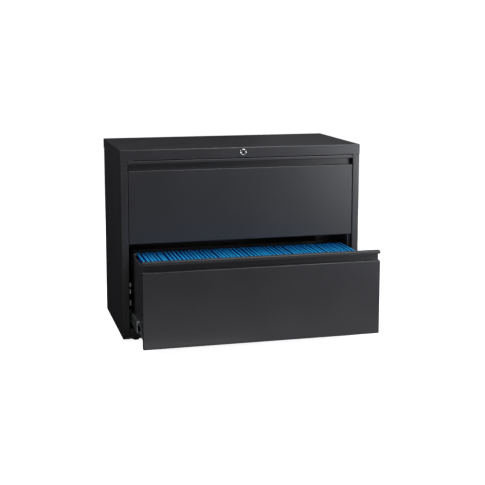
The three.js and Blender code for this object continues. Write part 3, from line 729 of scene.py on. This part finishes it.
def folder_board():
    """Blue folder board: uncoated, mottled, a little different from folder to folder, with painted shade:
    navy in its gaps and darker toward the back.
    """
    board = Finish("folder_board", {"Specular IOR Level": 0.2})
    fibre = board.noise(700, 3)
    shade = board.node("ShaderNodeAttribute", {"attribute_name": "shade"}, {}, "Fac")
    # Painted shade: navy below the hems' tops, and darker toward the back of the row.
    lit = board.ramp(board.part("Z"), pack_high.z - HEM_DARK, pack_high.z - HEM_LIT)
    shaded = board.ramp(board.part("Y"), pack_low.y + SHADE_START, pack_low.y + SHADE_END)
    share = lit * (0.64 + 0.28 * shade + 0.12 * fibre) * (1 - SHADE_DEPTH * shaded)
    tone = board.blend(share, (*GAP_SHADE_NAVY, 1), (*BLUE, 1))
    board.feed("Base Color", tone)
    board.feed("Roughness", 0.5 + 0.2 * fibre)
    board.bump(fibre, 0.05 * MM, 0.5)
    return board.material


def leaf_lines(top_x, fold_x, top_z, fold_z):
    """Cross-sections of folder leaves, closed round the board: up one face, round the hem, down the other.

    With t from 0 at the bottom fold to 1 under the hem, x moves from fold_x to top_x with t squared, so a
    leaf hangs straight at its fold and opens at its top. The hem is half an ellipse on a straight skirt.
    """
    t = np.linspace(0, 1, 5)
    turn = np.linspace(0, pi, 7)
    skirt = top_z - HEM_HEIGHT
    up_x = fold_x[:, None] + (top_x - fold_x)[:, None] * t**2 + BOARD / 2
    up_z = fold_z[:, None] + (skirt - fold_z)[:, None] * t
    hem_x = top_x[:, None] + HEM_WIDTH / 2 * np.cos(turn)
    hem_z = (top_z - HEM_WIDTH / 2)[:, None] + HEM_WIDTH / 2 * np.sin(turn)
    x = np.concatenate([up_x, hem_x, (up_x - BOARD)[:, ::-1]], 1)
    z = np.concatenate([up_z, hem_z, up_z[:, ::-1]], 1)
    return np.stack([x, z], -1)


count = int((pack_high.x - pack_low.x) / FOLDER_PITCH)
middle_x = np.linspace(pack_low.x + ROW_END, pack_high.x - ROW_END, count)
middle_x = middle_x + rng.uniform(-SCATTER, SCATTER, count) * MM + CROWDING * np.sin(middle_x * 47)
opening = rng.uniform(LEAST_OPEN, MOST_OPEN, count) * MM
lean = rng.uniform(-MOST_LEAN, MOST_LEAN, count) * MM
fold_z = np.full(count, pack_low.z)
halves = []
for way in (-1, 1):
    top_z = pack_high.z - rng.uniform(0, TOP_DROP, count) * MM
    halves.append(leaf_lines(middle_x + way * opening, middle_x + lean, top_z, fold_z))
lines = np.concatenate(halves)
leaves, around = lines.shape[:2]
ends = (pack_high.y - HEM_WIDTH, pack_low.y + HEM_WIDTH)
points = np.empty((leaves, around, 2, 3))
points[..., 0] = lines[:, :, None, 0]
points[..., 1] = ends
points[..., 2] = lines[:, :, None, 1]
loop = np.arange(around)
quad = np.stack([2 * loop, 2 * np.roll(loop, -1), 2 * np.roll(loop, -1) + 1, 2 * loop + 1], -1)
faces = (quad[None] + (np.arange(leaves) * around * 2)[:, None, None]).reshape(-1, 4).tolist()
for leaf in range(leaves):
    first = leaf * around * 2
    faces.append(list(range(first, first + 2 * around, 2))[::-1])
    faces.append(list(range(first + 1, first + 2 * around, 2)))
folders = mesh_object("folders", points, faces)
folders.data.set_sharp_from_angle(angle=HEM_SHARP)
tone = folders.data.attributes.new("shade", "FLOAT", "POINT")
places = np.empty(len(folders.data.vertices) * 3)
folders.data.vertices.foreach_get("co", places)
leaf_x = places.reshape(-1, 3)[:, 0]
tone.data.foreach_set("value", 0.6 + 0.4 * np.sin(leaf_x * 311) * np.sin(leaf_x * 77))
finished(
    folders,
    folder_board(),
    "lower_drawer",
    "folder_board",
    "lower_folder_pack_1",
    "lower_folder_pack_2",
    "lower_folder_pack_3",
)

# ---------------------------------------------------------------------------------------------------------
# Studio: a white floor that meets a white wall without a line, soft boxes at the right, above and at the
# near left, low glows where a white table would throw light back, and dimmer boxes at the left and behind.

FLOOR_HALF = 30
PAINTED_SHADOW_TONE = 0.93  # painted contact shadow: the share of full white that the floor's glow keeps near the cabinet
FADE_START, FADE_END = 0.9, 2.6
ROOM_TONE = 0.006
STUDIO_WHITE = 1.0


def soft_light(name, place, aim, width, depth, power, colour=(1.0, 1.0, 1.0)):
    """A soft box that faces its aim and doesn't show in the picture."""
    lamp = bpy.data.lights.new(name, "AREA")
    lamp.shape = "RECTANGLE"
    lamp.size, lamp.size_y = width, depth
    lamp.energy = power
    lamp.color = colour
    box = bpy.data.objects.new(name, lamp)
    bpy.context.scene.collection.objects.link(box)
    box.location = place
    box.rotation_mode = "QUATERNION"
    box.rotation_quaternion = (Vector(aim) - Vector(place)).to_track_quat("-Z", "Y")
    box.visible_camera = False
    return box


corners = [(-1, -1), (1, -1), (1, 1), (-1, 1)]
ground = mesh_object("ground", [(FLOOR_HALF * x, FLOOR_HALF * y, 0) for x, y in corners], [[0, 1, 2, 3]])
pale = Finish("pale_floor", {"Base Color": (0.8, 0.8, 0.8, 1), "Roughness": 0.9, "Specular IOR Level": 0.0})
pale.shader.inputs["Emission Strength"].default_value = 1.0
away = pale.node("ShaderNodeVectorMath", {"operation": "LENGTH"}, {"Vector": pale.place}, "Value")
# The floor's glow is painted darker near the cabinet and fades to white between FADE_START and FADE_END
# metres from the middle: a painted contact shadow.
glow = pale.blend(pale.ramp(away, FADE_START, FADE_END), (PAINTED_SHADOW_TONE,) * 3 + (1,), (1, 1, 1, 1))
pale.feed("Emission Color", glow)
ground.data.materials.append(pale.material)
ground.visible_diffuse = False
ground.visible_glossy = False

COOL, WARM = (0.95, 0.97, 1.0), (1.0, 0.96, 0.93)
soft_light("key_high", (1.35, -1.6, 2.2), (0.2, -0.2, 0.45), 0.7, 0.7, 36, COOL)
soft_light("key_low", (1.45, -1.75, 0.5), (0.2, -0.2, 0.45), 0.6, 0.42, 13.5, COOL)
soft_light("strip", (0.6, -1.3, 2.3), (0.1, -0.15, 0.6), 1.4, 0.25, 17, WARM)
soft_light("overhead", (0.4, -0.25, 2.6), (0.1, -0.15, 0.6), 1.4, 0.5, 18, WARM)
soft_light("near_left", (-1.5, -3.2, 0.9), (-0.2, -0.3, 0.35), 0.8, 0.8, 15)
soft_light("table_glow", (-0.1, -0.64, 0.01), (-0.1, -0.64, 1), 1.7, 0.36, 1.2)
soft_light("table_glow_left", (-0.35, -0.68, 0.01), (-0.35, -0.68, 1), 0.7, 0.4, 0.9)
soft_light("left", (-1.9, 0.2, 2.1), (-0.4, 0.1, 0.5), 0.8, 0.8, 28)
soft_light("rear", (0.8, 2.8, 0.45), (0.0, 0.2, 0.35), 1.0, 0.4, 24)
soft_light("far_right", (1.3, 2.6, 1.1), (0.1, 0.1, 0.7), 1.0, 0.6, 0.2)

world = bpy.data.worlds.new("studio")
bpy.context.scene.world = world
world.use_nodes = True
sky = world.node_tree
path = sky.nodes.new("ShaderNodeLightPath")
shown = sky.nodes.new("ShaderNodeMix")
shown.inputs["A"].default_value = ROOM_TONE
shown.inputs["B"].default_value = STUDIO_WHITE
sky.links.new(path.outputs["Is Camera Ray"], shown.inputs["Factor"])
sky.nodes["Background"].inputs["Color"].default_value = (1, 1, 1, 1)
sky.links.new(shown.outputs["Result"], sky.nodes["Background"].inputs["Strength"])
bpy.context.scene.view_settings.view_transform = "Standard"
